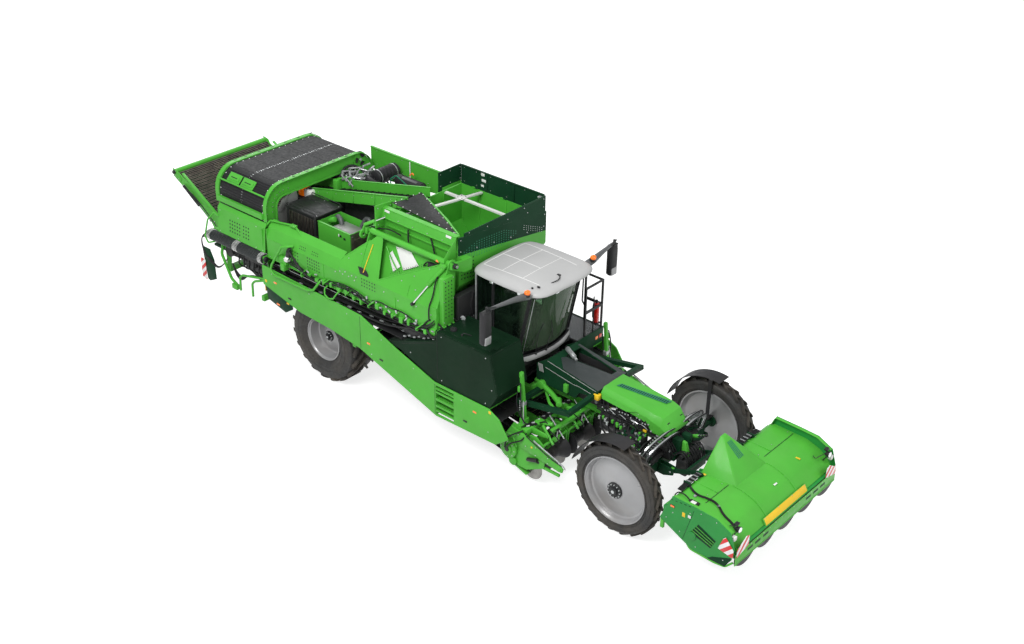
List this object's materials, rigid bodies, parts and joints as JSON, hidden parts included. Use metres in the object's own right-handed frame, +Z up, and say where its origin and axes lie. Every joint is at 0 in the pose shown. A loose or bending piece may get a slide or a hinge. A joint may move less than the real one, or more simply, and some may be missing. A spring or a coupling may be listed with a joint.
{
  "type": "potato harvester",
  "caption": "Self-propelled root crop harvester with front haulm topper, digging web, ring elevator, bunker, side elevator and cab.",
  "frame": {"origin": "on the ground under the middle of the whole machine", "axes": "+X forward, +Y to the machine's left, +Z up"},
  "size_m": [15.7417, 4.03, 4.4398],
  "materials": {
    "light_green_paint": "glossy light green paint",
    "dark_green_paint": "glossy dark green paint",
    "black_paint": "satin black paint",
    "grey_paint": "satin dark grey-green paint",
    "rim_paint": "silver-grey paint",
    "engine_paint": "cast and painted engine",
    "web_steel": "worn spring steel rods",
    "tool_steel": "worn tool steel",
    "tyre": "ribbed tractor tyre rubber",
    "belt_rubber": "ribbed belt rubber",
    "black_plastic": "moulded black plastic",
    "roof_plastic": "pale grey moulded roof",
    "seat_fabric": "woven seat cloth",
    "glass": "lightly tinted safety glass"
  },
  "bodies": {
    "chassis": {"bunker": "light_green_paint", "bunker_extension": "dark_green_paint", "cab_frame": "dark_green_paint", "cab_glass": "glass", "cab_platform": "black_paint", "cab_roof": "roof_plastic", "cross_roller": "belt_rubber", "driver_seat": "seat_fabric", "engine_block": "engine_paint", "engine_deck": "light_green_paint", "exhaust_and_intake": "black_plastic", "filling_belt": "belt_rubber", "filling_conveyor": "light_green_paint", "frame_outriggers": "light_green_paint", "front_axle_beam": "dark_green_paint", "front_hood": "light_green_paint", "fuel_tank": "dark_green_paint", "hood_frame": "grey_paint", "main_frame": "light_green_paint", "mirrors": "black_plastic", "radiator": "black_paint", "rear_axle_beam": "dark_green_paint", "rear_sieving_web": "web_steel", "rear_web": "web_steel", "rear_web_frame": "light_green_paint", "ring_belt": "belt_rubber", "ring_cover": "light_green_paint", "ring_frame_front": "light_green_paint", "ring_frame_rear": "light_green_paint", "side_panel_left": "light_green_paint", "side_panel_right": "light_green_paint", "steering_column": "black_plastic"},
    "bunker_flap_front": {"bunker_flap_front": "dark_green_paint"},
    "bunker_flap_left": {"bunker_flap_left": "dark_green_paint"},
    "cab_door": {"cab_door": "dark_green_paint", "cab_door_glass": "glass"},
    "digging_unit": {"digging_frame": "light_green_paint", "digging_web": "web_steel"},
    "unloading_elevator": {"elevator_belt": "belt_rubber", "unloading_elevator": "light_green_paint"},
    "front_knuckle_left": {"fender_front_left": "black_plastic", "knuckle_front_left": "dark_green_paint"},
    "front_knuckle_right": {"fender_front_right": "black_plastic", "knuckle_front_right": "dark_green_paint"},
    "rear_knuckle_left": {"knuckle_rear_left": "dark_green_paint"},
    "rear_knuckle_right": {"knuckle_rear_right": "dark_green_paint"},
    "ridge_rollers": {"ridge_rollers": "black_plastic"},
    "front_wheel_left": {"rim_front_left": "rim_paint", "tyre_front_left": "tyre"},
    "front_wheel_right": {"rim_front_right": "rim_paint", "tyre_front_right": "tyre"},
    "rear_wheel_left": {"rim_rear_left": "rim_paint", "tyre_rear_left": "tyre"},
    "rear_wheel_right": {"rim_rear_right": "rim_paint", "tyre_rear_right": "tyre"},
    "topper_arms": {"topper_arms": "dark_green_paint"},
    "topper": {"topper_flaps": "belt_rubber", "topper_frame": "light_green_paint", "topper_hood": "light_green_paint"},
    "topper_rotor": {"topper_rotor": "tool_steel"}
  },
  "joints": [
    {"name": "front_steer_right", "type": "hinge", "parent": "chassis", "child": "front_knuckle_right", "pos_m": [5.2, -1.13, 0.945], "axis": [0, 0, 1], "range_deg": [-28, 28]},
    {"name": "front_roll_right", "type": "hinge", "parent": "front_knuckle_right", "child": "front_wheel_right", "pos_m": [5.2, -1.5, 0.945], "axis": [0, 1, 0], "continuous": true},
    {"name": "rear_steer_right", "type": "hinge", "parent": "chassis", "child": "rear_knuckle_right", "pos_m": [-2.66, -0.79, 1], "axis": [0, 0, 1], "range_deg": [-8, 8]},
    {"name": "rear_roll_right", "type": "hinge", "parent": "rear_knuckle_right", "child": "rear_wheel_right", "pos_m": [-2.66, -1.29, 1], "axis": [0, 1, 0], "continuous": true},
    {"name": "front_steer_left", "type": "hinge", "parent": "chassis", "child": "front_knuckle_left", "pos_m": [5.2, 1.13, 0.945], "axis": [0, 0, 1], "range_deg": [-28, 28]},
    {"name": "front_roll_left", "type": "hinge", "parent": "front_knuckle_left", "child": "front_wheel_left", "pos_m": [5.2, 1.5, 0.945], "axis": [0, 1, 0], "continuous": true},
    {"name": "rear_steer_left", "type": "hinge", "parent": "chassis", "child": "rear_knuckle_left", "pos_m": [-2.66, 0.79, 1], "axis": [0, 0, 1], "range_deg": [-8, 8]},
    {"name": "rear_roll_left", "type": "hinge", "parent": "rear_knuckle_left", "child": "rear_wheel_left", "pos_m": [-2.66, 1.29, 1], "axis": [0, 1, 0], "continuous": true},
    {"name": "topper_lift", "type": "hinge", "parent": "chassis", "child": "topper_arms", "pos_m": [5.62, 0, 0.96], "axis": [0, -1, 0], "range_deg": [-40, 4]},
    {"name": "topper_level", "type": "hinge", "parent": "topper_arms", "child": "topper", "pos_m": [6.2214, 0, 1.1789], "axis": [0, -1, 0], "range_deg": [-4, 40]},
    {"name": "topper_rotor_spin", "type": "hinge", "parent": "topper", "child": "topper_rotor", "pos_m": [6.9614, 0, 0.9], "axis": [0, 1, 0], "continuous": true},
    {"name": "digging_lift", "type": "hinge", "parent": "chassis", "child": "digging_unit", "pos_m": [-0.9, 0, 1.18], "axis": [0, -1, 0], "range_deg": [-2.5, 1.2]},
    {"name": "roller_spin", "type": "hinge", "parent": "digging_unit", "child": "ridge_rollers", "pos_m": [3.33, 0, 0.64], "axis": [0, 1, 0], "continuous": true},
    {"name": "cab_door_swing", "type": "hinge", "parent": "chassis", "child": "cab_door", "pos_m": [1.032, 0.778, 2.8], "axis": [0, 0, 1], "range_deg": [0, 80]},
    {"name": "elevator_swing", "type": "hinge", "parent": "chassis", "child": "unloading_elevator", "pos_m": [0, -1.3, 3.9], "axis": [-1, 0, 0], "range_deg": [0, 45]},
    {"name": "left_flap_fold", "type": "hinge", "parent": "chassis", "child": "bunker_flap_left", "pos_m": [-0.4, 1.566, 3.9423], "axis": [1, 0, 0], "range_deg": [0, 90]},
    {"name": "front_flap_fold", "type": "hinge", "parent": "chassis", "child": "bunker_flap_front", "pos_m": [0.731, 0.295, 4.1678], "axis": [0, -0.9928, 0.1198], "range_deg": [0, 90]}
  ],
  "couplings": [
    {"joint": "front_steer_left", "follows": "front_steer_right", "ratio": 1},
    {"joint": "rear_steer_left", "follows": "rear_steer_right", "ratio": 1},
    {"joint": "topper_level", "follows": "topper_lift", "ratio": -1}
  ]
}
